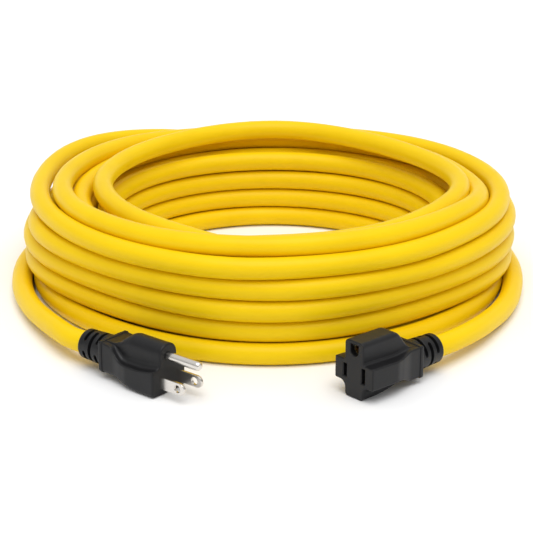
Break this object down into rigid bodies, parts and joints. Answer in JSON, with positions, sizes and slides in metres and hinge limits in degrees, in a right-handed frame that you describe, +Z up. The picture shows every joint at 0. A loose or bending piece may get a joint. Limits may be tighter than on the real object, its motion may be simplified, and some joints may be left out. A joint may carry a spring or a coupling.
{
  "type": "coiled power cord",
  "caption": "Coiled heavy yellow three-wire power cord with a moulded black straight-blade grounded plug and a moulded black connector.",
  "frame": {"origin": "on the floor under the middle of the whole object's box", "axes": "+Z up; +X to the right and +Y away as seen from the side where the plug and the connector lie"},
  "size_m": [0.2942, 0.3325, 0.0645],
  "materials": {
    "jacket": "satin yellow cord jacket",
    "moulded_black": "fine matte moulded black",
    "inner_moulding": "hard dark grey moulding",
    "nickel": "nickel-plated brass, softly brushed",
    "contact_brass": "plain formed brass strip",
    "copper": "bare stranded copper",
    "black_insulation": "smooth black insulation",
    "white_insulation": "smooth white insulation",
    "green_insulation": "smooth green insulation"
  },
  "bodies": {
    "root": {"cord_coil": "jacket", "plug_lead": "jacket", "connector_lead": "jacket", "plug_body": "moulded_black", "plug_strain_relief": "moulded_black", "plug_inner_bridge": "inner_moulding", "plug_line_blade": "nickel", "plug_neutral_blade": "nickel", "plug_ground_pin": "nickel", "plug_jacket_end": "jacket", "plug_line_wire": "black_insulation", "plug_neutral_wire": "white_insulation", "plug_ground_wire": "green_insulation", "plug_line_copper": "copper", "plug_neutral_copper": "copper", "plug_ground_copper": "copper", "connector_body": "moulded_black", "connector_strain_relief": "moulded_black", "connector_contact_carrier": "inner_moulding", "connector_line_contact": "contact_brass", "connector_neutral_contact": "contact_brass", "connector_ground_contact": "contact_brass", "connector_jacket_end": "jacket", "connector_line_wire": "black_insulation", "connector_neutral_wire": "white_insulation", "connector_ground_wire": "green_insulation", "connector_line_copper": "copper", "connector_neutral_copper": "copper", "connector_ground_copper": "copper"}
  },
  "joints": []
}
